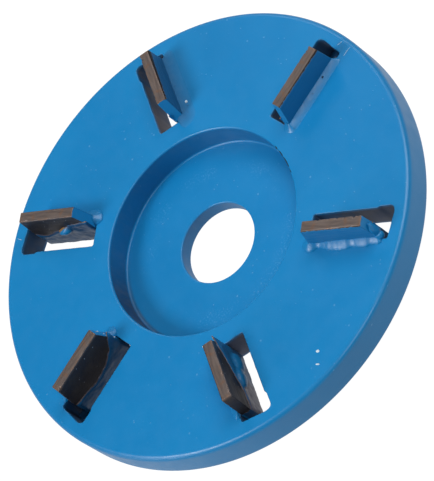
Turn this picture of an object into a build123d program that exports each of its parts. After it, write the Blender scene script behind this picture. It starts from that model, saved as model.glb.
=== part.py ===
"""Six-tooth carving disc for an angle grinder, in millimetres.

Z is the spindle axis. The hub's back face lies on Z = 0, the cutting face looks up,
and X runs along the blade of the first tooth. Seen from above, the disc turns
counter-clockwise, so each blade cuts towards its own +Y side.
"""
from build123d import *
import os

# Driving dimensions
outer_diameter = 90.0
bore_diameter = 16.2
rim_thickness = 6.5
hub_thickness = 9.0
hub_diameter = 47.0
recess_diameter = 41.6
recess_depth = 5.8
tooth_count = 6
blade_length = 14.75
blade_height = 10.7
blade_thickness = 2.15
blade_reach = 5.7

# Disc details
front_edge_radius = 1.0
back_edge_radius = 0.6
recess_lip_radius = 0.4
recess_corner_radius = 0.4
hub_edge_radius = 0.8
hub_root_radius = 0.8
bore_chamfer = 0.25

# Chip window: X from the spindle axis, Y from the radius that the blade runs parallel to
window_start = 24.95
window_length = 17.45
window_front = 0.85
window_width = 6.1
window_end_slant = 0.9
window_corner_radius = 0.4
window_outer_corner_radius = 1.0
window_relief_radius = 1.0
window_relief_depth = 0.3
window_relief_place = 2.3

# Blade details
blade_start = 25.15
blade_inner_slope = 1.55
blade_outer_slope = 0.6
blade_back_bevel = 0.25

# Braze filler
seam_gap = 0.1
bead_foot = 1.2
bead_rise = 1.0
bead_bulge = 0.12
bead_inner_run = 1.6
front_filler_thickness = 0.5
front_filler_edge_radius = 0.2
front_filler_inner_top = 1.6
front_filler_middle_top = -1.8
front_filler_outer_top = -0.7
front_filler_end_gap = 0.15

# Levels and planes worked out from the sizes above
face = hub_thickness
rim_back = hub_thickness - rim_thickness
recess_floor = hub_thickness - recess_depth
blade_top = face + blade_reach
blade_bottom = blade_top - blade_height
blade_end = blade_start + blade_length
window_end = window_start + window_length
window_back = window_front - window_width
blade_back = window_back + seam_gap
blade_front = blade_back + blade_thickness

CORNER = (Align.MIN, Align.MIN, Align.MIN)


def round_corner(outline, corner, radius):
    """Round the one corner of an outline that lies at the given point."""
    return fillet(outline.vertices().sort_by_distance(corner)[0], radius)


def disc_blank():
    """Turned steel blank: rim, hub boss on the back, recess for the clamp nut, and bore."""
    bore = bore_diameter / 2
    hub = hub_diameter / 2
    rim = outer_diameter / 2
    recess = recess_diameter / 2
    section = Polygon(
        (bore, 0),
        (hub, 0),
        (hub, rim_back),
        (rim, rim_back),
        (rim, face),
        (recess, face),
        (recess, recess_floor),
        (bore, recess_floor),
        align=None,
    )
    section = round_corner(section, (rim, face), front_edge_radius)
    section = round_corner(section, (rim, rim_back), back_edge_radius)
    section = round_corner(section, (recess, face), recess_lip_radius)
    section = round_corner(section, (recess, recess_floor), recess_corner_radius)
    section = round_corner(section, (hub, 0), hub_edge_radius)
    section = round_corner(section, (hub, rim_back), hub_root_radius)
    for level in (0, recess_floor):
        bore_edge = section.vertices().sort_by_distance((bore, level))[0]
        section = chamfer(bore_edge, bore_chamfer)
    return revolve(Plane.XZ * section, Axis.Z)


def chip_window():
    """Slot through the disc in front of a blade, with a slanted outer end and a drilled relief."""
    inner_back = (window_start, window_back)
    outer_back = (window_end - window_end_slant, window_back)
    outer_front = (window_end, window_front)
    inner_front = (window_start, window_front)
    outline = Polygon(inner_back, outer_back, outer_front, inner_front, align=None)
    outline = round_corner(outline, outer_front, window_outer_corner_radius)
    for corner in (inner_back, outer_back, inner_front):
        outline = round_corner(outline, corner, window_corner_radius)
    relief_x = window_end - window_relief_place
    relief_y = window_front + window_relief_depth - window_relief_radius
    outline += Pos(relief_x, relief_y) * Circle(window_relief_radius)
    return Pos(0, 0, rim_back) * extrude(outline, rim_thickness)


def blade():
    """Carbide plate on edge: flat flank on top, and an inner end that slopes outward."""
    outline = Polygon(
        (blade_start, blade_bottom),
        (blade_end, blade_bottom),
        (blade_end, face),
        (blade_end - blade_outer_slope, blade_top),
        (blade_start + blade_inner_slope, blade_top),
        (blade_start, face),
        align=None,
    )
    plate = extrude(Plane.XZ.offset(-blade_front) * outline, blade_thickness)
    top_edges = plate.edges().filter_by(Axis.X).sort_by(Axis.Z)[-2:]
    return chamfer(top_edges.sort_by(Axis.Y)[0], blade_back_bevel)


def bead_section():
    """Cross-section of the filler bead: its foot on the disc and its rise up the blade."""
    middle = (bead_foot / 2 + bead_bulge, bead_rise / 2 + bead_bulge)
    foot = Line((0, 0), (bead_foot, 0))
    top = ThreePointArc((bead_foot, 0), middle, (0, bead_rise))
    inner = Line((0, bead_rise), (0, 0))
    return make_face(foot + top + inner)


def bead_turn(x, y, start_angle):
    """Quarter turn of the bead round a vertical line at x, y, from the start angle."""
    quarter = revolve(Plane.XZ * bead_section(), Axis.Z, 90)
    return Pos(x, y, face) * Rot(0, 0, start_angle) * quarter


def bead_run(x, y, angle, length):
    """Straight stretch of the bead that faces the angle, starting at x, y."""
    run = extrude(Plane.XZ * bead_section(), -length)
    return Pos(x, y, face) * Rot(0, 0, angle) * run


def rear_braze():
    """Filler between blade and window wall, with the bead that rises round its back foot."""
    seam_block = Box(blade_length, seam_gap, face - blade_bottom, align=CORNER)
    seam = Pos(blade_start, window_back, blade_bottom) * seam_block & chip_window()
    end_backing_block = Box(blade_inner_slope, bead_inner_run, bead_rise, align=CORNER)
    end_backing = Pos(blade_start, blade_back, face) * end_backing_block
    inner_run_end = blade_back + bead_inner_run
    bead = (
        bead_turn(blade_end, blade_back, -90)
        + bead_run(blade_start, blade_back, -90, blade_length)
        + bead_turn(blade_start, blade_back, 180)
        + bead_run(blade_start, inner_run_end, 180, bead_inner_run)
        + bead_turn(blade_start, inner_run_end, 90)
    )
    return seam + bead + end_backing - blade()


def front_braze():
    """Filler that ran down the lower front of the blade. Its upper edge is a hollow arc."""
    start = blade_start + front_filler_end_gap
    end = blade_end - front_filler_end_gap
    inner_top = (start, face + front_filler_inner_top)
    middle_top = ((start + end) / 2, face + front_filler_middle_top)
    outer_top = (end, face + front_filler_outer_top)
    sides = Polyline(inner_top, (start, blade_bottom), (end, blade_bottom), outer_top)
    top = ThreePointArc(outer_top, middle_top, inner_top)
    outline = Plane.XZ.offset(-blade_front) * make_face(sides + top)
    layer = extrude(outline, -front_filler_thickness)
    outer_face = layer.faces().sort_by(Axis.Y)[-1]
    return fillet(outer_face.edges(), front_filler_edge_radius)


def around_disc(piece, number):
    """Turn a piece of the first tooth to the place of the numbered tooth."""
    return Rot(0, 0, 360 / tooth_count * (number - 1)) * piece


def disc_body():
    """The blank with its six chip windows."""
    body = disc_blank()
    for number in range(1, tooth_count + 1):
        body -= around_disc(chip_window(), number)
    return body


def save(piece, name):
    """Write a piece as its own STEP file."""
    export_step(piece, f"parts/{name}.step")


os.makedirs("parts", exist_ok=True)
save(disc_body(), "disc_body")
for number in range(1, tooth_count + 1):
    save(around_disc(blade(), number), f"carbide_blade_{number}")
    save(around_disc(rear_braze(), number), f"rear_braze_bead_{number}")
    save(around_disc(front_braze(), number), f"front_braze_fillet_{number}")
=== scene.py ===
"""Looks for the six-tooth carving disc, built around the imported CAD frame.

Shapes are worked out in millimetres, in the frame of the first tooth: X runs along its
blade, +Y is the way it cuts and +Z comes out of the cutting face. Each tooth's pieces are
then turned to their place. Meshes, lights and the camera are in metres.
"""
import bpy
import bmesh
import math
import random
from mathutils import Matrix, Vector, geometry, noise


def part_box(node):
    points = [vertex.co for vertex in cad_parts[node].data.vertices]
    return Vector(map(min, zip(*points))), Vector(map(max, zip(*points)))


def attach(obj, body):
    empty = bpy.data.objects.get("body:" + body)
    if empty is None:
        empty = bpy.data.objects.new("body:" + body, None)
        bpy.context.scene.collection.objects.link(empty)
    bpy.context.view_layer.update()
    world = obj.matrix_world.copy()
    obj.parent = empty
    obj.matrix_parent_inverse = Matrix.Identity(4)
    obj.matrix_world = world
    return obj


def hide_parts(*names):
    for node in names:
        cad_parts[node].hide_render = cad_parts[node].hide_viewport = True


MM = 0.001
TEETH = 6

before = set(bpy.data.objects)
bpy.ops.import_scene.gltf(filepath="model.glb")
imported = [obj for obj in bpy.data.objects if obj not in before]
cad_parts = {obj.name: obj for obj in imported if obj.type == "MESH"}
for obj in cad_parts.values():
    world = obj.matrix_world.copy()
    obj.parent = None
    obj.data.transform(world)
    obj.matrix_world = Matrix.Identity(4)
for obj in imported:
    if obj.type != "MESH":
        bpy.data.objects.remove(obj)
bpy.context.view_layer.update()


# ---------------------------------------------------------------- sizes, in millimetres

def box_mm(node):
    """Lowest and highest corner of a CAD node, in millimetres."""
    low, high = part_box(node)
    return low / MM, high / MM


disc_high = box_mm("disc_body")[1]
blade_low, blade_high = box_mm("carbide_blade_1")

outer_radius = disc_high.x
face = disc_high.z
rim_thickness = 6.5
recess_depth = 5.8
rim_back = face - rim_thickness
recess_floor = face - recess_depth
recess_radius = 20.8
bore_radius = 8.1
hub_radius = 23.5
lip_radius = 0.4
front_edge_radius = 1.0
back_edge_radius = 0.6
hub_edge_radius = 0.8
corner_radius = 0.4
bore_edge_radius = 0.25

window_start = 24.95
window_end = 42.4
window_back = -5.25
window_front = 0.85
window_slant = 0.9
window_corner_radius = 0.4
window_outer_corner_radius = 1.0
window_edge_radius = 0.18
outline_spacing = 0.3
relief_start = 38.4
relief_depth = 0.32

blade_start = blade_low.x
blade_end = blade_high.x
blade_back = blade_low.y
blade_front = blade_high.y
blade_bottom = blade_low.z
blade_top = blade_high.z
inner_slope = 1.55
outer_slope = 0.6
back_bevel = 0.25
blade_edge_radius = 0.09

bead_inset = 0.25
bead_sink = 0.2
filler_thickness = 0.30
filler_sink = 0.12
filler_end_gap = 0.12
web_height = 1.5
web_bottom = 0.25

speck_a = (30.3, -26.0)
speck_b = (30.7, -28.5)
scuff_middle = 15.6
scuff_width = 2.6

RING_STEPS = 360
ROUNDING = 0.01
FLAT_MARGIN = 0.12

# how thin the paint is on the upright turned walls, by their radius, how much painted shade darkens one
# side of the recess wall, and how far that shade reaches in over the recess floor at the wall's foot
wall_bareness = {recess_radius: 0.30, bore_radius: 0.38, outer_radius: 0.06}
shaded_side = 232
side_shade_extra = 0.65
foot_shade_reach = 0.7


# ---------------------------------------------------------------- small helpers

def clamp(value, low=0.0, high=1.0):
    """Value kept between low and high."""
    return max(low, min(high, value))


def smoothstep(low, high, value):
    """Smooth rise from 0 at low to 1 at high."""
    t = clamp((value - low) / (high - low))
    return t * t * (3 - 2 * t)


def lerp(a, b, t):
    """Value a share t of the way from a to b."""
    return a + (b - a) * t


def wobble(x, y=0.0, z=0.0, size=1.0, seed=0.0):
    """Smooth noise from about -1 to 1 that changes over the given size in millimetres."""
    return noise.noise(Vector((x / size + seed * 7.3, y / size - seed * 3.1, z / size + seed)))


def along(points, x):
    """Height at x of a smooth line through a few (x, height) points."""
    if x <= points[0][0]:
        return points[0][1]
    for (x0, h0), (x1, h1) in zip(points, points[1:]):
        if x <= x1:
            return lerp(h0, h1, smoothstep(x0, x1, x) * 0.5 + (x - x0) / (x1 - x0) * 0.5)
    return points[-1][1]


def arc(centre, radius, start, end, steps):
    """Points on a circle, from the start angle to the end angle in degrees."""
    found = []
    for i in range(steps + 1):
        angle = math.radians(lerp(start, end, i / steps))
        found.append((centre[0] + radius * math.cos(angle), centre[1] + radius * math.sin(angle)))
    return found


def spread(start, end, edge, middle_steps, edge_steps=3):
    """Positions from start to end that lie close together near both ends."""
    head = [start + edge * (i / edge_steps) for i in range(edge_steps)]
    tail = [end - edge * (i / edge_steps) for i in range(edge_steps)]
    middle = [lerp(start + edge, end - edge, i / middle_steps) for i in range(middle_steps + 1)]
    return head + middle + tail[::-1]


def skin_of_box(xs, ys, zs):
    """Points and faces of the skin of a box that is divided at the given positions."""
    index, points, faces = {}, [], []

    def point(i, j, k):
        if (i, j, k) not in index:
            index[i, j, k] = len(points)
            points.append(Vector((xs[i], ys[j], zs[k])))
        return index[i, j, k]

    nx, ny, nz = len(xs) - 1, len(ys) - 1, len(zs) - 1
    for i in range(nx):
        for j in range(ny):
            for k in (0, nz):
                faces.append([point(i, j, k), point(i + 1, j, k),
                              point(i + 1, j + 1, k), point(i, j + 1, k)])
    for i in range(nx):
        for k in range(nz):
            for j in (0, ny):
                faces.append([point(i, j, k), point(i + 1, j, k),
                              point(i + 1, j, k + 1), point(i, j, k + 1)])
    for j in range(ny):
        for k in range(nz):
            for i in (0, nx):
                faces.append([point(i, j, k), point(i, j + 1, k),
                              point(i, j + 1, k + 1), point(i, j, k + 1)])
    return points, faces


def make_piece(name, points, faces, material, tooth=1, marks=None):
    """Mesh object from points in millimetres, turned to its tooth, riding on the one body.

    marks holds named numbers for each point, which the materials read.
    """
    mesh = bpy.data.meshes.new(name)
    mesh.from_pydata([Vector(p) * MM for p in points], [], faces)
    for mark, values in (marks or {}).items():
        layer = mesh.attributes.new(mark, "FLOAT", "POINT")
        layer.data.foreach_set("value", values)
    work = bmesh.new()
    work.from_mesh(mesh)
    bmesh.ops.recalc_face_normals(work, faces=work.faces)
    work.to_mesh(mesh)
    work.free()
    mesh.shade_smooth()
    mesh.materials.append(material)
    piece = bpy.data.objects.new(name, mesh)
    bpy.context.scene.collection.objects.link(piece)
    piece.matrix_world = Matrix.Rotation(math.tau / TEETH * (tooth - 1), 4, "Z")
    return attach(piece, "root")


# ---------------------------------------------------------------- materials

class Look:
    """A node material: one Principled shader and short calls for the nodes that feed it."""

    def __init__(self, name):
        self.material = bpy.data.materials.new(name)
        self.material.use_nodes = True
        self.tree = self.material.node_tree
        self.shader = self.tree.nodes["Principled BSDF"]
        self.place = self.add("ShaderNodeTexCoord").outputs["Object"]

    def feed(self, socket, value):
        if isinstance(value, bpy.types.NodeSocket):
            self.tree.links.new(value, socket)
        else:
            socket.default_value = value

    def add(self, kind, settings=(), **inputs):
        node = self.tree.nodes.new(kind)
        for key, value in dict(settings).items():
            setattr(node, key, value)
        for name, value in inputs.items():
            self.feed(node.inputs[name], value)
        return node

    def sum(self, operation, a, b=0.0, c=0.0):
        node = self.add("ShaderNodeMath", {"operation": operation})
        for socket, value in zip(node.inputs, (a, b, c)):
            self.feed(socket, value)
        return node.outputs[0]

    def noise(self, millimetres, detail=2.0, roughness=0.5, stretch=(1, 1, 1)):
        """Noise from 0 to 1 with features of about the given size, stretched along an axis."""
        scaled = self.add("ShaderNodeMapping", Vector=self.place,
                          Scale=[s / (millimetres * MM) for s in stretch])
        node = self.add("ShaderNodeTexNoise", Vector=scaled.outputs[0], Scale=1.0,
                        Detail=detail, Roughness=roughness)
        return node.outputs["Fac"]

    def ease(self, value, low, high, to_low=0.0, to_high=1.0):
        node = self.add("ShaderNodeMapRange", {"interpolation_type": "SMOOTHSTEP"})
        for socket, number in zip(node.inputs, (value, low, high, to_low, to_high)):
            self.feed(socket, number)
        return node.outputs[0]

    def blend(self, amount, a, b):
        """Colour a where amount is 0 and colour b where it is 1."""
        node = self.add("ShaderNodeMix", {"data_type": "RGBA"})
        for number, value in ((0, amount), (6, a), (7, b)):
            self.feed(node.inputs[number], value)
        return node.outputs[2]

    def mark(self, name):
        return self.add("ShaderNodeAttribute", {"attribute_name": name}).outputs["Fac"]

    def split(self, place):
        return self.add("ShaderNodeSeparateXYZ", Vector=place).outputs

    def bump(self, height, millimetres, under=None):
        """Relief of the given depth in millimetres where height goes from 0 to 1."""
        node = self.add("ShaderNodeBump", Height=height, Distance=millimetres * MM, Strength=1.0)
        if under is not None:
            self.feed(node.inputs["Normal"], under)
        return node.outputs[0]

    def dots(self, cell, size, keep):
        """Round dots in a share of cells of the given size, 1 at each dot's middle."""
        scaled = self.add("ShaderNodeMapping", Vector=self.place, Scale=[1 / (cell * MM)] * 3)
        cells = self.add("ShaderNodeTexVoronoi", Vector=scaled.outputs[0], Scale=1.0)
        chance = self.split(cells.outputs["Color"])[0]
        near = self.ease(cells.outputs["Distance"], 0.0, size / cell, 1.0, 0.0)
        return self.sum("MULTIPLY", near, self.sum("LESS_THAN", chance, keep))


def rgb(r, g, b):
    return (r, g, b, 1.0)


ENAMEL = rgb(0.004, 0.205, 0.49)
ENAMEL_SLOW_TONE = rgb(0.006, 0.218, 0.51)
ENAMEL_FINE_TONE = rgb(0.010, 0.235, 0.54)
ENAMEL_PALE = rgb(0.10, 0.36, 0.66)
ENAMEL_OVER_BRAZE = rgb(0.02, 0.10, 0.22)
PAINT_HIGHLIGHT = rgb(0.62, 0.74, 0.82)
CHIPPED_PAINT = rgb(0.02, 0.024, 0.022)
THIN_PAINT = rgb(0.050, 0.050, 0.065)
GROUND_CARBIDE = rgb(0.20, 0.155, 0.135)
GROUND_CARBIDE_DARK = rgb(0.13, 0.105, 0.10)
HEAT_BROWN = rgb(0.24, 0.12, 0.06)
DARK_CARBIDE = rgb(0.035, 0.032, 0.038)
DARK_CARBIDE_WARM = rgb(0.05, 0.042, 0.04)
# near-black painted shade for the bare bevel along the top of a blade's back
SHADE_ON_BEVEL = rgb(0.008, 0.008, 0.010)
GLINT = rgb(0.75, 0.75, 0.75)
BRONZE = rgb(0.30, 0.17, 0.07)
NAVY = rgb(0.006, 0.034, 0.092)
SHADED_STEEL = rgb(0.095, 0.090, 0.120)
# lighter steel grey for window walls, partly thin paint and partly painted light
LIT_GREY_STEEL = rgb(0.19, 0.155, 0.155)
FLOOR_GREY = rgb(0.05, 0.05, 0.05)
FLOOR_GREY_PALE = rgb(0.06, 0.06, 0.06)
ROOM_GREY = rgb(0.9, 0.95, 1.0)
WHITE = rgb(1, 1, 1)


def enamel_colour(look):
    """Blue enamel: slow changes of tone, fine mottling, and pale dust specks."""
    slow = look.noise(14, 3)
    fine = look.noise(0.9, 3)
    tone = look.blend(look.ease(slow, 0.35, 0.7), ENAMEL, ENAMEL_SLOW_TONE)
    tone = look.blend(look.ease(fine, 0.52, 0.85, 0.0, 0.35), tone, ENAMEL_FINE_TONE)
    dusty = look.ease(look.noise(9, 2), 0.48, 0.60)
    specks = look.sum("MAXIMUM", look.dots(3.2, 0.30, 0.6),
                      look.sum("MULTIPLY", look.dots(1.2, 0.19, 0.7), dusty))
    return look.blend(look.sum("MULTIPLY", specks, 0.7), tone, ENAMEL_PALE), specks


def enamel_relief(look, specks):
    """Orange peel, brush-fine grain and standing dust specks."""
    peel = look.bump(look.noise(1.6, 2), 0.012)
    grain = look.bump(look.noise(0.25, 2), 0.0025, peel)
    return look.bump(specks, 0.05, grain)


def disc_look():
    """Enamel on the disc, thin and greyish on the window walls, scuffed round the bore; painted light on
    parts of the window walls, painted shade on one side of the recess wall and its foot.
    """
    look = Look("blue_enamel_on_steel")
    colour, specks = enamel_colour(look)
    x, y, z = look.split(look.place)
    radius = look.sum("SQRT", look.sum("ADD", look.sum("MULTIPLY", x, x),
                                       look.sum("MULTIPLY", y, y)))
    off = look.sum("ABSOLUTE", look.sum("SUBTRACT", radius, scuff_middle * MM))
    ring = look.ease(off, 0.0, scuff_width * MM, 1.0, 0.0)
    floor_only = look.ease(z, (recess_floor + 0.2) * MM, (recess_floor + 0.6) * MM, 1.0, 0.0)
    patchy = look.sum("MULTIPLY", look.ease(look.noise(5, 4), 0.42, 0.65),
                      look.ease(look.noise(0.4, 3), 0.5, 0.7))
    scuff = look.sum("MULTIPLY", look.sum("MULTIPLY", ring, patchy), floor_only)
    colour = look.blend(look.sum("MULTIPLY", scuff, 0.45), colour, ENAMEL_PALE)
    # thin paint on the upright walls, with painted shade added on one side of the recess wall and at its
    # foot
    bare = look.mark("bare")
    streaks = look.noise(1.2, 4, 0.6, stretch=(1, 1, 0.25))
    thin = look.blend(look.ease(streaks, 0.35, 0.65), THIN_PAINT, NAVY)
    thin = look.blend(look.ease(look.noise(6, 2), 0.40, 0.60), thin, NAVY)
    # lighter steel grey on parts of the window walls: partly thin paint, partly painted light
    lit_grey = look.sum("MULTIPLY", look.mark("lit_grey"), look.ease(streaks, 0.25, 0.6, 0.55, 1.0))
    thin = look.blend(lit_grey, thin, LIT_GREY_STEEL)
    colour = look.blend(look.sum("MULTIPLY", bare, 0.92), colour, thin)
    chips = look.ease(look.sum("MULTIPLY", look.mark("chipped"), look.noise(0.8, 4)), 0.40, 0.48)
    colour = look.blend(chips, colour, CHIPPED_PAINT)
    look.feed(look.shader.inputs["Base Color"], colour)
    rough = look.ease(look.noise(3, 3), 0.3, 0.7, 0.30, 0.38)
    rough = look.sum("ADD", rough, look.sum("MULTIPLY", bare, 0.32))
    look.feed(look.shader.inputs["Roughness"], rough)
    look.feed(look.shader.inputs["Normal"], enamel_relief(look, specks))
    return look.material


def braze_look():
    """Enamel over braze filler: glossier, with pits and a hint of bronze at thin spots, darkened by painted
    shade where marked.
    """
    look = Look("blue_enamel_on_braze")
    colour, specks = enamel_colour(look)
    thin = look.ease(look.noise(1.1, 4), 0.66, 0.74)
    colour = look.blend(look.sum("MULTIPLY", thin, 0.5), colour, ENAMEL_OVER_BRAZE)
    bronze = look.ease(look.sum("ADD", look.mark("bronze"),
                                look.sum("MULTIPLY", look.noise(0.5, 3), 0.5)), 0.70, 0.85)
    colour = look.blend(bronze, colour, BRONZE)
    colour = look.blend(look.mark("pale"), colour, PAINT_HIGHLIGHT)
    # painted shade: at the bead's foot, low on the filler, on the end webs and on the pit
    colour = look.blend(look.mark("dark"), colour, NAVY)
    colour = look.blend(look.mark("steel"), colour, SHADED_STEEL)
    look.feed(look.shader.inputs["Base Color"], colour)
    rough = look.ease(look.noise(1, 3), 0.3, 0.7, 0.30, 0.42)
    rough = look.sum("ADD", rough, look.sum("MULTIPLY", look.mark("dry"), 0.4))
    look.feed(look.shader.inputs["Roughness"], rough)
    lumps = look.bump(look.noise(1.3, 2), 0.012)
    look.feed(look.shader.inputs["Normal"], look.bump(specks, 0.03, lumps))
    return look.material


def blade_look():
    """Carbide with a heat-browned flank and a dark rake, under enamel where it is painted; painted shade on
    the back and low on the front.
    """
    look = Look("brazed_carbide")
    enamel, specks = enamel_colour(look)
    streaks = look.noise(0.5, 4, 0.6, stretch=(0.12, 1, 1))
    patches = look.noise(2.2, 4)
    flank = look.blend(look.ease(streaks, 0.35, 0.7), GROUND_CARBIDE, GROUND_CARBIDE_DARK)
    flank = look.blend(look.ease(patches, 0.52, 0.68, 0.0, 0.55), flank, HEAT_BROWN)
    rake = look.blend(look.ease(patches, 0.4, 0.7), DARK_CARBIDE, DARK_CARBIDE_WARM)
    bare = look.blend(look.mark("flank"), rake, flank)
    # near-black painted shade on the bare bevel along the top of the back
    bevel_shade = look.mark("bevel_shade")
    bare = look.blend(bevel_shade, bare, SHADE_ON_BEVEL)
    edge = look.sum("ADD", look.mark("paint"),
                    look.sum("MULTIPLY", look.sum("SUBTRACT", look.noise(0.6, 4), 0.5), 0.9))
    painted = look.ease(edge, -0.04, 0.04)
    rim = look.sum("MULTIPLY", look.ease(edge, -0.22, -0.05), look.ease(edge, 0.0, 0.1, 1.0, 0.0))
    bare = look.blend(look.sum("MULTIPLY", rim, 0.35), bare, BRONZE)
    glints = look.sum("MULTIPLY", look.dots(1.3, 0.15, 0.35), 0.8)
    bare = look.blend(glints, bare, GLINT)
    # painted shade darkens the enamel on the back and low on the front
    enamel = look.blend(look.mark("dark"), enamel, NAVY)
    look.feed(look.shader.inputs["Base Color"], look.blend(painted, bare, enamel))
    uncoated = look.sum("SUBTRACT", 1.0, painted)
    look.feed(look.shader.inputs["Metallic"], look.sum("MULTIPLY", uncoated, 0.55))
    scored = look.ease(look.noise(0.35, 3, stretch=(0.1, 1, 1)), 0.3, 0.7, 0.36, 0.55)
    look.feed(look.shader.inputs["Roughness"], scored)
    grind = look.bump(look.noise(0.12, 2, stretch=(0.06, 1, 1)), 0.004)
    pits = look.bump(look.noise(0.8, 3), 0.02, grind)
    film = look.bump(painted, 0.06, pits)
    look.feed(look.shader.inputs["Normal"], look.bump(specks, 0.03, film))
    return look.material


def floor_look():
    """Pale light-table surface, bright enough to read as plain white."""
    look = Look("pale_floor")
    grain = look.noise(40, 2)
    look.feed(look.shader.inputs["Base Color"],
              look.blend(look.ease(grain, 0.3, 0.7), FLOOR_GREY, FLOOR_GREY_PALE))
    look.shader.inputs["Roughness"].default_value = 0.7
    look.shader.inputs["Emission Color"].default_value = WHITE
    straight = look.add("ShaderNodeLightPath").outputs["Is Camera Ray"]
    look.feed(look.shader.inputs["Emission Strength"], look.ease(straight, 0, 1, 0.6, 1.0))
    return look.material


enamel = disc_look()
painted_braze = braze_look()
carbide = blade_look()


# ---------------------------------------------------------------- the disc

def rounded_outline(corners, radii, spacing):
    """Closed outline of evenly spaced points through corners with the given radii."""
    bends = []
    count = len(corners)
    for i, radius in enumerate(radii):
        here = Vector(corners[i])
        to_last = (Vector(corners[i - 1]) - here).normalized()
        to_next = (Vector(corners[(i + 1) % count]) - here).normalized()
        half = to_last.angle(to_next) / 2
        centre = here + (to_last + to_next).normalized() * radius / math.sin(half)
        reach = radius / math.tan(half)
        first = here + to_last * reach - centre
        last = here + to_next * reach - centre
        turn = first.angle_signed(last)
        steps = 7
        bends.append([centre + Matrix.Rotation(-turn * s / steps, 2) @ first
                      for s in range(steps + 1)])
    outline = []
    for i, bend in enumerate(bends):
        outline += bend
        start, end = bend[-1], bends[(i + 1) % count][0]
        steps = max(2, round((end - start).length / spacing))
        outline += [start.lerp(end, s / steps) for s in range(1, steps)]
    return outline


def window_outline(tooth):
    """Outline of a tooth's chip window, a little uneven, and the way out at each point."""
    corners = [
        (window_start, window_back),
        (window_end - window_slant, window_back),
        (window_end, window_front),
        (window_start, window_front),
    ]
    small, large = window_corner_radius, window_outer_corner_radius
    outline = rounded_outline(corners, (small, small, large, small), outline_spacing)
    for point in outline:
        at_front = smoothstep(window_front - 1.2, window_front - 0.2, point.y)
        point.y += relief_depth * at_front * smoothstep(relief_start, relief_start + 0.8, point.x)
        point.x += 0.05 * wobble(point.x, point.y, size=1.2, seed=tooth)
        point.y += 0.04 * wobble(point.y, point.x, size=1.5, seed=tooth + 9)
    count = len(outline)
    ways = []
    for i in range(count):
        run = outline[(i + 1) % count] - outline[i - 1]
        ways.append(Vector((run.y, -run.x)).normalized())
    return outline, ways


def window_levels():
    """Offset from the outline, height and bareness of each ring down a window's wall."""
    radius = window_edge_radius
    quarter = [math.radians(a) for a in (0, 22.5, 45, 67.5, 90)]
    levels = [(radius + FLAT_MARGIN, face, 0.0)]
    for a in quarter:
        offset, drop = radius * (1 - math.sin(a)), radius * (1 - math.cos(a))
        levels.append((offset, face - drop, math.sin(a) * 0.5))
    wall_top, wall_bottom = face - radius, rim_back + radius
    for i in range(1, 10):
        levels.append((0.0, lerp(wall_top, wall_bottom, i / 10), 1.0))
    for a in reversed(quarter):
        offset, rise = radius * (1 - math.sin(a)), radius * (1 - math.cos(a))
        levels.append((offset, rim_back + rise, math.sin(a) * 0.5))
    levels.append((radius + FLAT_MARGIN, rim_back, 0.0))
    return levels


def inner_profile():
    """Turned section from the face, through recess and bore, to the step behind the rim."""
    bore, edge = bore_radius, bore_edge_radius
    recess, lip, corner = recess_radius, lip_radius, corner_radius
    hub, round_hub = hub_radius, hub_edge_radius
    return (
        [(recess + lip + FLAT_MARGIN, face)]
        + arc((recess + lip, face - lip), lip, 90, 180, 10)
        + [(recess, lerp(face - lip, recess_floor + corner, i / 6)) for i in range(1, 6)]
        + arc((recess - corner, recess_floor + corner), corner, 0, -90, 6)
        + [(recess - corner - FLAT_MARGIN, recess_floor)]
        + [(lerp(recess - 1, bore + 1, i / 6), recess_floor) for i in range(7)]
        + [(bore + edge + FLAT_MARGIN, recess_floor)]
        + arc((bore + edge, recess_floor - edge), edge, 90, 180, 4)
        + [(bore, lerp(recess_floor - edge, edge, i / 4)) for i in range(1, 4)]
        + arc((bore + edge, edge), edge, 180, 270, 4)
        + [(bore + edge + FLAT_MARGIN, 0.0)]
        + [(lerp(bore + 1, hub - 2, i / 5), 0.0) for i in range(6)]
        + [(hub - round_hub - FLAT_MARGIN, 0.0)]
        + arc((hub - round_hub, round_hub), round_hub, -90, 0, 6)
        + arc((hub + round_hub, rim_back - round_hub), round_hub, 180, 90, 6)
        + [(hub + round_hub + FLAT_MARGIN, rim_back)]
    )


def outer_profile():
    """Turned section of the rim, from the face to the back."""
    rim, front, back = outer_radius, front_edge_radius, back_edge_radius
    return (
        [(rim - front - FLAT_MARGIN, face)]
        + arc((rim - front, face - front), front, 90, 0, 10)
        + [(rim, lerp(face - front, rim_back + back, i / 8)) for i in range(1, 8)]
        + arc((rim - back, rim_back + back), back, 0, -90, 7)
        + [(rim - back - FLAT_MARGIN, rim_back)]
    )


def wall_thinness_and_shade(radius):
    """How thin the paint is at each step round a ring on one of the upright walls, plus painted shade on
    one side of the recess wall and at its foot.
    """
    base = wall_bareness.get(radius, 0.0)
    on_recess_wall = recess_radius - foot_shade_reach < radius < recess_radius + ROUNDING
    extra = side_shade_extra if on_recess_wall else 0.0
    found = []
    for i in range(RING_STEPS):
        off = abs((360 * i / RING_STEPS - shaded_side + 180) % 360 - 180)
        found.append(base + extra * smoothstep(55, 10, off))
    return found


def lip_chips(radius, z):
    """How chipped the paint is at each step round a ring; only one side of the recess lip is."""
    on_lip = recess_radius < radius < recess_radius + lip_radius * 0.8 and z > face - lip_radius
    chips = []
    for i in range(RING_STEPS):
        turn = 360 * i / RING_STEPS
        chips.append(on_lip * smoothstep(18, 34, turn) * smoothstep(60, 46, turn))
    return chips


def window_lit_grey(tooth, point):
    """Where the walls inside a chip window turn lighter steel grey, partly thin paint on the steel and
    partly painted light.
    """
    on_front = smoothstep(window_front - 0.5, window_front - 0.1, point.y)
    if tooth == 1:
        return 0.35 * on_front * smoothstep(31, 36, point.x)
    if tooth == 3:
        return on_front * smoothstep(35, 28, point.x)
    if tooth == 6:
        return 0.45 * smoothstep(window_start + 0.5, window_start + 0.2, point.x)
    return 0.0


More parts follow.
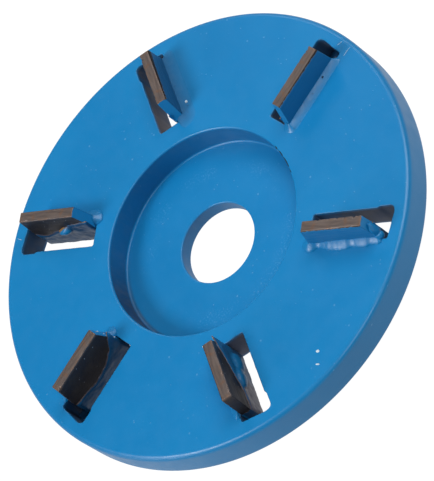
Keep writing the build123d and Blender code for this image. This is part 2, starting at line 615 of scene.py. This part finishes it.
def painted_disc():
    """The whole disc: turned sections, six windows with rounded edges, and the flat faces."""
    points, faces, bare, chipped, lit_grey = [], [], [], [], []

    def ring(ring_points, bareness, chips=None, lit_greying=None):
        start = len(points)
        points.extend(ring_points)
        bare.extend(bareness if isinstance(bareness, list) else [bareness] * len(ring_points))
        chipped.extend(chips or [0.0] * len(ring_points))
        lit_grey.extend(lit_greying or [0.0] * len(ring_points))
        return list(range(start, len(points)))

    def join(a, b):
        count = len(a)
        for i in range(count):
            j = (i + 1) % count
            faces.append([a[i], a[j], b[j], b[i]])

    def turned(profile):
        rings = []
        for radius, z in profile:
            circle = [(radius * math.cos(math.tau * i / RING_STEPS),
                       radius * math.sin(math.tau * i / RING_STEPS), z) for i in range(RING_STEPS)]
            rings.append(ring(circle, wall_thinness_and_shade(radius), lip_chips(radius, z)))
        for a, b in zip(rings, rings[1:]):
            join(a, b)
        return rings[0], rings[-1]

    face_inner, back_inner = turned(inner_profile())
    face_outer, back_outer = turned(outer_profile())
    face_holes, back_holes = [], []
    for tooth in range(1, TEETH + 1):
        turn = Matrix.Rotation(math.tau / TEETH * (tooth - 1), 2)
        outline, ways = window_outline(tooth)
        rings = []
        for offset, z, bareness in window_levels():
            loop = []
            for point, way in zip(outline, ways):
                rough = 0.035 * bareness * wobble(point.x, point.y, z, size=0.9, seed=tooth)
                x, y = turn @ (point + way * (offset + rough))
                loop.append((x, y, z))
            lit_greying = [window_lit_grey(tooth, point) for point in outline]
            rings.append(ring(loop, bareness, lit_greying=lit_greying))
        for a, b in zip(rings, rings[1:]):
            join(a, b)
        face_holes.append(rings[0])
        back_holes.append(rings[-1])
    for loops in ([face_outer, face_inner] + face_holes, [back_outer, back_inner] + back_holes):
        flat = [[Vector(points[i]) for i in loop] for loop in loops]
        order = [i for loop in loops for i in loop]
        for triangle in geometry.tessellate_polygon(flat):
            faces.append([order[i] for i in triangle])
    marks = {"bare": bare, "chipped": chipped, "lit_grey": lit_grey}
    disc = make_piece("painted_disc", points, faces, enamel, marks=marks)
    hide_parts("disc_body")


# ---------------------------------------------------------------- teeth

TOOTH = {
    # bead: width, height, lump depth, lump length, hollow (1 a flat slope, more a deeper fillet),
    #       fullness (0 the hollow shape, 1 a full round bead)
    # top_gap: bare strip along the top of the blade's back, painted near-black as shade, (x, depth)
    # paint_line: upper edge of filler and paint on the blade's front, (x, height over the face)
    # blobs: x, z, length, thickness of each drip; drip_lifts_shade: how much a drip lifts the painted shade
    # web: 1 where braze and paint close the window's outer end, with a near-black web of painted shade
    # outer_paint: 1 where paint covers the blade's outer end; dry: 1 where the bead is dull
    # low_steel: 1 where the filler gives way to bare steel low down
    # filler_shade: height over the face where painted shade starts to darken the filler, and how dark it
    # gets
    # back_shade, bead_shade: how much painted shade darkens the blade's back and the bead's foot
    1: dict(bead=(1.45, 0.85, 0.38, 3.0, 1.6, 0.75), outer_paint=1, back_shade=0.15, web=0,
            top_gap=((25, 0.12), (40, 0.2)),
            paint_line=((25, 2.2), (29, 0.4), (33, -0.8), (37, 0.2), (39.9, 2.6)),
            blobs=(), filler_shade=(0.9, 0.88), bead_shade=0.0,
            drip_lifts_shade=1, low_steel=0, dry=0),
    2: dict(bead=(1.35, 0.95, 0.06, 4.0, 1.15, 0.0), outer_paint=1, back_shade=0.25, web=1,
            top_gap=((25, 0.15), (40, 0.32)),
            paint_line=((25, 1.8), (29, -0.2), (33, -1.6), (37, -1.0), (39.9, -0.4)),
            blobs=(), filler_shade=(0.9, 0.88), bead_shade=0.1,
            drip_lifts_shade=1, low_steel=0, dry=0),
    3: dict(bead=(2.9, 0.70, 0.05, 4.0, 2.3, 0.0), outer_paint=0, back_shade=0.68, web=0,
            top_gap=((25, 0.2), (33, 0.45), (40, 0.95)),
            paint_line=((25, 2.6), (28, 0.6), (32, -1.2), (36, -1.4), (39.9, -0.6)),
            blobs=(), filler_shade=(0.9, 0.88), bead_shade=0.55,
            drip_lifts_shade=1, low_steel=0, dry=1),
    4: dict(bead=(1.3, 0.95, 0.2, 2.5, 1.8, 0.55), outer_paint=0, back_shade=0.2, web=0,
            top_gap=((25, 0.12), (40, 0.2)),
            paint_line=((25, 2.9), (29, 2.3), (31.6, 1.4), (34, 0.2), (37.5, -1.3), (39.9, -0.2)),
            blobs=((32.1, 9.5, 1.7, 0.8),), filler_shade=(3.4, 0.85), bead_shade=0.1,
            drip_lifts_shade=1, low_steel=0, dry=0),
    5: dict(bead=(1.3, 0.95, 0.2, 2.5, 1.8, 0.55), outer_paint=0, back_shade=0.2, web=1,
            top_gap=((25, 0.12), (40, 0.2)),
            paint_line=((25.4, 3.4), (26.2, 2.2), (28.1, 0.0), (31, -1.4), (34.4, -1.75),
                        (36.7, -1.1), (39.9, -0.5)),
            blobs=(), filler_shade=(3.0, 0.72), bead_shade=0.1,
            drip_lifts_shade=1, low_steel=0, dry=0),
    6: dict(bead=(1.3, 0.95, 0.2, 2.5, 1.8, 0.55), outer_paint=0, back_shade=0.2, web=0,
            top_gap=((25, 0.12), (40, 0.2)),
            paint_line=((25, 4.6), (27.3, 3.8), (29.2, 2.6), (31.4, 1.6), (33, 0.9), (34.6, 0.1),
                        (36, -0.4), (39.9, -0.6)),
            blobs=((29.4, 7.6, 2.5, 0.9), (32.6, 8.0, 2.3, 0.8)), filler_shade=(5.2, 0.62),
            bead_shade=0.1,
            drip_lifts_shade=0.3, low_steel=1, dry=0),
}


def blade_ends(z):
    """Where the blade's inner and outer ends are at a height."""
    rise = clamp((z - face) / (blade_top - face))
    return blade_start + inner_slope * rise, blade_end - outer_slope * rise


def blade_paint(x, y, z, tooth):
    """How deep inside the painted area a point of the blade lies, in millimetres."""
    style = TOOTH[tooth]
    inner, outer = blade_ends(z)
    back = (blade_back + 0.16 - y) * 3
    inner_end = (inner + 0.10 - x) * 3
    outer_end = (x - outer + 0.16) * 3 if style["outer_paint"] else -1.0
    front = face + along(style["paint_line"], x) - z if y > blade_back + 0.4 else -1.0
    low_end = face - 0.6 - z if x > outer - 0.3 or y < blade_front - 0.2 else -1.0
    gap = along(style["top_gap"], x) if y < blade_back + 0.4 else 0.08
    from_top = blade_top - gap - z
    return min(max(back, inner_end, outer_end, front, low_end), from_top * 2)


def carbide_blade(tooth):
    """Ground carbide plate: rounded edges, bevelled back edge, chipped cutting edge."""
    rng = random.Random(40 + tooth)
    edge = blade_edge_radius
    xs = spread(blade_start, blade_end, edge, 64)
    ys = spread(blade_back, blade_front, edge, 10)
    zs = spread(blade_bottom, blade_top, edge, 40)
    points, faces = skin_of_box(xs, ys, zs)
    low = Vector((blade_start + edge, blade_back + edge, blade_bottom + edge))
    high = Vector((blade_end - edge, blade_front - edge, blade_top - edge))
    nicks = [(rng.uniform(blade_start + 2, blade_end - 1), rng.uniform(0.12, 0.3)) for _ in range(5)]
    nicks += [(blade_end - rng.uniform(0.6, 2.2), rng.uniform(0.2, 0.42)) for _ in range(3)]
    paint, flank, bevel_shade, dark = [], [], [], []
    style = TOOTH[tooth]
    for point in points:
        core = Vector([clamp(point[i], low[i], high[i]) for i in range(3)])
        way = point - core
        if way.length > 1e-9:
            point.xyz = core + way.normalized() * edge
        over = back_bevel - (blade_top - point.z) - (point.y - blade_back)
        if over > 0:
            point.y += over / 2
            point.z -= over / 2
        reach = (blade_top - point.z) + (blade_front - point.y)
        for place, size in nicks:
            depth = size - Vector((point.x - place, reach)).length
            if depth > 0:
                point.y -= depth * 0.5
                point.z -= depth * 0.5
        share = (point.x - blade_start) / (blade_end - blade_start)
        inner, outer = blade_ends(point.z)
        point.x = lerp(inner, outer, share)
        point.z += 0.02 * wobble(point.x, point.y, size=2.0, seed=tooth) * (point.z > blade_top - 0.3)
        paint.append(blade_paint(point.x, point.y, point.z, tooth))
        flank.append(smoothstep(blade_top - 0.5, blade_top - 0.12, point.z))
        on_back = point.y < blade_back + 0.2
        # near-black painted shade on the bare strip along the top of the back
        bevel_shade_foot = blade_top - along(style["top_gap"], point.x) - 0.3
        bevel_shade.append(1.0 if on_back and point.z > bevel_shade_foot else 0.0)
        # painted shade: darker on the back and on the front below the disc face, deep in the window
        below = smoothstep(face + 0.3, face - 0.6, point.z) * (point.y > blade_back + 0.4)
        dark.append(max(style["back_shade"] * on_back, 0.85 * below))
    marks = {"paint": paint, "flank": flank, "bevel_shade": bevel_shade, "dark": dark}
    blade = make_piece(f"blade_{tooth}", points, faces, carbide, tooth, marks)
    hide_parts(f"carbide_blade_{tooth}")


def heading(degrees):
    """Way of length 1 in the plane of the disc, at an angle from +X."""
    angle = math.radians(degrees)
    return Vector((math.cos(angle), math.sin(angle)))


def bead_path():
    """Line round the back foot of the blade, and the way out from the blade at each point."""
    inset = bead_inset
    left, right = blade_start + inset, blade_end - inset
    back = blade_back + inset
    path = []
    front_stop = blade_front - 0.5
    for step in range(8):
        path.append((Vector((left, lerp(front_stop, back, step / 8))), Vector((-1, 0))))
    for angle in range(180, 271, 9):
        path.append((Vector((left, back)), heading(angle)))
    for step in range(1, 70):
        path.append((Vector((lerp(left, right, step / 70), back)), Vector((0, -1))))
    for angle in range(270, 341, 7):
        path.append((Vector((right, back)), heading(angle)))
    return path, inset


def braze_bead(tooth):
    """Painted bead that climbs from the disc up the back of the blade."""
    width, height, lumps, lump_length, hollowness, fullness = TOOTH[tooth]["bead"]
    path, inset = bead_path()
    columns = 14
    points, faces, dark, dry = [], [], [], []
    last = len(path) - 1
    for step, (base, way) in enumerate(path):
        ends = min(1.0, step / 5, (last - step) / 5)
        taper = 0.25 + 0.75 * math.sqrt(clamp(ends))
        rough = lumps * (1.3 * wobble(base.x, base.y, size=lump_length, seed=tooth)
                         + 0.3 * wobble(base.x, base.y, size=lump_length / 3, seed=tooth + 5))
        reach = width * (1 + 1.1 * rough) * taper
        rise = height * (1 + 0.8 * rough) * taper
        section = [(-inset * 0.5, -bead_sink), (-inset * 0.5, rise + 0.02)]
        for column in range(columns + 1):
            share = column / columns
            hollow = (1 - share) ** hollowness
            full = math.sqrt(max(0.0, 1 - share * share)) * (1 - 0.15 * share)
            level = rise * lerp(hollow, full, fullness) - 0.015 * share
            section.append((inset + 0.02 + reach * share, level))
        section.append((inset + 0.02 + reach, -bead_sink))
        start = len(points)
        for out, up in section:
            x, y = base + way * out
            points.append((x, y, face + up))
            # painted shade at the bead's foot, against the blade
            dark.append(TOOTH[tooth]["bead_shade"] * clamp(1.1 - out / width))
            dry.append(TOOTH[tooth]["dry"])
        count = len(section)
        if step:
            for column in range(count):
                after = (column + 1) % count
                faces.append([start - count + column, start + column, start + after, start - count + after])
    faces.append(list(range(count)))
    faces.append(list(range(len(points) - count, len(points))))
    marks = {"dark": dark, "dry": dry}
    bead = make_piece(f"braze_bead_{tooth}", points, faces, painted_braze, tooth, marks)
    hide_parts(f"rear_braze_bead_{tooth}")


def front_braze(tooth):
    """Painted filler that ran down the lower front of the blade, with its drips."""
    style = TOOTH[tooth]
    steps_x, steps_z = 60, 26
    xs = [i / steps_x for i in range(steps_x + 1)]
    zs = [i / steps_z for i in range(steps_z + 1)]
    points, faces = skin_of_box(xs, [0.0, 1.0], zs)
    bronze, dark, steel = [], [], []
    for point in points:
        x = lerp(blade_start + filler_end_gap, blade_end - filler_end_gap, point.x)
        top = face + along(style["paint_line"], x) + 0.12 * wobble(x, size=0.8, seed=tooth)
        top = min(top, blade_top - 0.3)
        z = lerp(blade_bottom + 0.06, top, point.z)
        from_edge = min(point.x, 1 - point.x) * (blade_end - blade_start)
        thick = filler_thickness * smoothstep(0.0, 0.5, (top - z)) * smoothstep(0.0, 0.4, from_edge)
        thick *= 0.75 + 0.5 * wobble(x, z, size=2.2, seed=tooth + 3)
        drip = 0.0
        for drip_x, drip_z, size, height in style["blobs"]:
            far = math.hypot((x - drip_x) / size, (z - drip_z) / (size * 0.62))
            drip = max(drip, height * math.sqrt(clamp(1 - far * far)))
        thick += drip * smoothstep(0.0, 0.25, top - z)
        thick += 0.05 * wobble(x, z, size=0.7, seed=tooth + 7) * smoothstep(0.0, 0.3, top - z)
        bronze.append(1.0 - smoothstep(0.10, 0.28, top - z))
        on_drip = smoothstep(0.05, 0.3, drip)
        # painted shade, darker towards the bottom of the filler and below the disc face; drips standing out
        # into the light lift it
        dark_top, darkness = style["filler_shade"]
        shade = darkness * smoothstep(face + dark_top, face + dark_top - 1.2, z)
        shade = max(shade, 0.85 * smoothstep(face - 0.2, face - 1.4, z))
        dark.append(shade * (1 - on_drip * style["drip_lifts_shade"]))
        low_steel = smoothstep(face - 0.6, face - 1.0, z) * smoothstep(31.5, 34.0, x)
        steel.append(style["low_steel"] * low_steel * (1 - on_drip))
        point.xyz = (x, blade_front + (max(thick, -0.02) if point.y > 0.5 else -filler_sink), z)
    marks = {"bronze": bronze, "dark": dark, "steel": steel}
    filler = make_piece(f"front_braze_{tooth}", points, faces, painted_braze, tooth, marks)
    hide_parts(f"front_braze_fillet_{tooth}")


def shaded_end_web(tooth):
    """Ragged web of braze and thick paint that closes the bottom of a window's outer end, coloured
    near-black as painted shade.
    """
    steps = 18
    share = [i / steps for i in range(steps + 1)]
    points, faces = skin_of_box(share, share, [0.0, 1.0])
    for point in points:
        on_top = point.z > 0.5
        x = lerp(blade_end - 0.5, window_end - 0.02, point.x)
        y = lerp(window_back - 0.02, window_front + 0.3, point.y)
        rise = web_height + 0.5 * wobble(x, y, size=1.4, seed=tooth)
        point.xyz = (x, y, rim_back + (rise if on_top else web_bottom))
    # near-black painted shade deep in the window's outer end
    marks = {"dark": [0.93] * len(points)}
    make_piece(f"shaded_end_web_{tooth}", points, faces, painted_braze, tooth, marks)


def paint_thread(tooth, number, rng):
    """Thin raised run of paint on the face, from the outer end of corner window to the rim."""
    steps, sides = 14, 6
    start_y = rng.uniform(window_back - 1.6, window_front - 2.0)
    beside = start_y < window_back - 0.3
    start_x = window_end - rng.uniform(0.6, 1.2) if beside else window_end + 0.22
    drift = rng.uniform(-0.7, -0.2)
    end_x = math.sqrt((outer_radius - front_edge_radius - 0.1) ** 2 - (start_y + drift) ** 2)
    thick = rng.uniform(0.05, 0.09)
    points, faces = [], []
    for i in range(steps + 1):
        share = i / steps
        x = lerp(start_x, end_x, share)
        y = start_y + drift * share + 0.12 * wobble(x, size=0.7, seed=tooth * 9 + number)
        size = thick * (0.35 + 0.65 * math.sin(math.pi * share)) + 0.01
        for side in range(sides):
            angle = math.tau * side / sides
            points.append((x, y + size * math.cos(angle), face + 0.6 * size * math.sin(angle)))
    for i in range(steps):
        for side in range(sides):
            corner = i * sides + side
            next_corner = i * sides + (side + 1) % sides
            faces.append([corner, next_corner, next_corner + sides, corner + sides])
    faces.append(list(range(sides)))
    faces.append(list(range(steps * sides, (steps + 1) * sides)))
    marks = {"pale": [0.6] * len(points)}
    make_piece(f"paint_thread_{tooth}_{number}", points, faces, painted_braze, tooth, marks)


def paint_lump(name, tooth, centre, radii, pale=0.0, dark=0.0, roughness=0.18):
    """Uneven rounded lump of paint or braze with half-sizes radii."""
    rows, columns = 18, 26
    centre = Vector(centre)

    def skin(row, column):
        tilt, turn = math.pi * row / rows, math.tau * column / columns
        flat = math.sin(tilt)
        way = Vector((flat * math.cos(turn), flat * math.sin(turn), math.cos(tilt)))
        size = 1 + roughness * wobble(way.x, way.y, way.z, size=0.6, seed=tooth + len(name))
        return centre + Vector([way[i] * radii[i] for i in range(3)]) * size

    points = [skin(0, 0)]
    points += [skin(row, column) for row in range(1, rows) for column in range(columns)]
    points.append(skin(rows, 0))
    faces = []
    for column in range(columns):
        after = (column + 1) % columns
        faces.append([0, 1 + column, 1 + after])
        last = 1 + (rows - 2) * columns
        faces.append([len(points) - 1, last + after, last + column])
        for row in range(rows - 2):
            row_start = 1 + row * columns
            here, beside = row_start + column, row_start + after
            faces.append([here, beside, beside + columns, here + columns])
    marks = {"pale": [pale] * len(points), "dark": [dark] * len(points)}
    make_piece(name, points, faces, painted_braze, tooth, marks)


def stray_lumps():
    """The lumps, drops and smears that stand out on single teeth and on the face."""
    back = blade_back
    paint_lump("outer_lump_1", 1, (blade_end - 0.1, back + 0.9, face + 1.7), (0.55, 1.0, 2.3))
    paint_lump("outer_lump_low_1", 1, (blade_end + 0.1, back + 0.4, face + 0.2), (0.9, 0.9, 0.9))
    paint_lump("drop_3", 3, (27.8, -6.5, face + 0.15), (0.34, 0.28, 0.26), pale=1.0)
    paint_lump("smear_3", 3, (blade_start + 0.5, back - 0.1, face + 0.1), (0.75, 0.35, 0.28), pale=0.7)
    # a dark lump standing in for the shade in a pit of the bead: painted shade
    paint_lump("pit_2", 2, (36.0, back - 0.35, face + 0.62), (0.24, 0.18, 0.16), dark=1.0)
    paint_lump("drop_6", 6, (blade_start + inner_slope + 0.15, back + 0.2, blade_top - 0.3),
               (0.26, 0.22, 0.22), pale=1.0)
    rng = random.Random(11)
    for number in range(1, 8):
        z = rng.uniform(face + 0.6, blade_top - 0.5)
        inner = blade_ends(z)[0]
        size = rng.uniform(0.10, 0.22)
        paint_lump(f"fleck_5_{number}", 5, (inner - 0.02, rng.uniform(back, blade_front), z),
                   (size * 0.7, size, size), pale=0.9)
    paint_lump("speck_a", 1, (speck_a[0], speck_a[1], face), (0.36, 0.28, 0.14), pale=1.0)
    paint_lump("speck_b", 1, (speck_b[0], speck_b[1], face), (0.42, 0.16, 0.10), pale=0.9)


# ---------------------------------------------------------------- floor, light and camera

def studio_floor():
    """Wide pale floor under the hub."""
    half = 6.0
    mesh = bpy.data.meshes.new("floor")
    corners = [(-half, -half, 0), (half, -half, 0), (half, half, 0), (-half, half, 0)]
    mesh.from_pydata([Vector(c) - Vector((0, 0, 0.0001)) for c in corners], [], [(0, 1, 2, 3)])
    mesh.materials.append(floor_look())
    floor = bpy.data.objects.new("floor", mesh)
    bpy.context.scene.collection.objects.link(floor)


def soft_light(name, direction, distance, size, power):
    """Square soft box that looks at the disc from a direction."""
    data = bpy.data.lights.new(name, "AREA")
    data.size = size
    data.energy = power
    light = bpy.data.objects.new(name, data)
    bpy.context.scene.collection.objects.link(light)
    way = Vector(direction).normalized()
    light.location = way * distance
    light.rotation_mode = "QUATERNION"
    light.rotation_quaternion = way.to_track_quat("Z", "Y")


def studio_world():
    """Dim grey room for light and reflections, plain white behind the object."""
    world = bpy.data.worlds.new("studio")
    bpy.context.scene.world = world
    world.use_nodes = True
    tree = world.node_tree
    room = tree.nodes["Background"]
    room.inputs["Color"].default_value = ROOM_GREY
    room.inputs["Strength"].default_value = 0.12
    white = tree.nodes.new("ShaderNodeBackground")
    white.inputs["Color"].default_value = WHITE
    straight = tree.nodes.new("ShaderNodeLightPath")
    pick = tree.nodes.new("ShaderNodeMixShader")
    tree.links.new(straight.outputs["Is Camera Ray"], pick.inputs[0])
    tree.links.new(room.outputs[0], pick.inputs[1])
    tree.links.new(white.outputs[0], pick.inputs[2])
    tree.links.new(pick.outputs[0], tree.nodes["World Output"].inputs["Surface"])


def camera():
    """Long lens above the lower right of the disc, rolled as in a product shot."""
    place = Vector((0.33295, -0.20794, 0.44221))
    ahead = Vector((-0.56542, 0.35345, -0.74523))
    up = Vector((0.08314, 0.92335, 0.37485))
    right = ahead.cross(up).normalized()
    # the lens axis points half a picture point up and to the left
    picture_point = 1 / 3144
    ahead = (ahead + (up - right) * 0.5 * picture_point).normalized()
    up = right.cross(ahead).normalized()
    data = bpy.data.cameras.new("camera")
    data.lens = 235.3
    data.sensor_width = 36
    data.clip_start = 0.05
    data.clip_end = 50
    shooter = bpy.data.objects.new("camera", data)
    bpy.context.scene.collection.objects.link(shooter)
    turn = Matrix((right, up, -ahead)).transposed().to_4x4()
    shooter.matrix_world = Matrix.Translation(place) @ turn
    bpy.context.scene.camera = shooter


painted_disc()
for tooth in range(1, TEETH + 1):
    carbide_blade(tooth)
    braze_bead(tooth)
    front_braze(tooth)
    if TOOTH[tooth]["web"]:
        shaded_end_web(tooth)
stray_lumps()
for tooth, count in ((2, 2), (4, 2)):
    rng = random.Random(70 + tooth)
    for number in range(1, count + 1):
        paint_thread(tooth, number, rng)

studio_floor()
studio_world()
soft_light("key", (-0.45, -0.45, 0.77), 1.0, 0.35, 5.0)
soft_light("camera_side", (0.60, -0.30, 0.78), 1.1, 0.30, 1.9)
soft_light("overhead", (0.35, 0.45, 0.80), 0.5, 0.3, 1.15)
soft_light("back", (-0.33, 0.71, 0.62), 1.0, 0.42, 1.3)
soft_light("low", (-0.57, -0.75, 0.35), 1.0, 0.30, 1.5)
camera()
bpy.context.scene.view_settings.view_transform = "Standard"
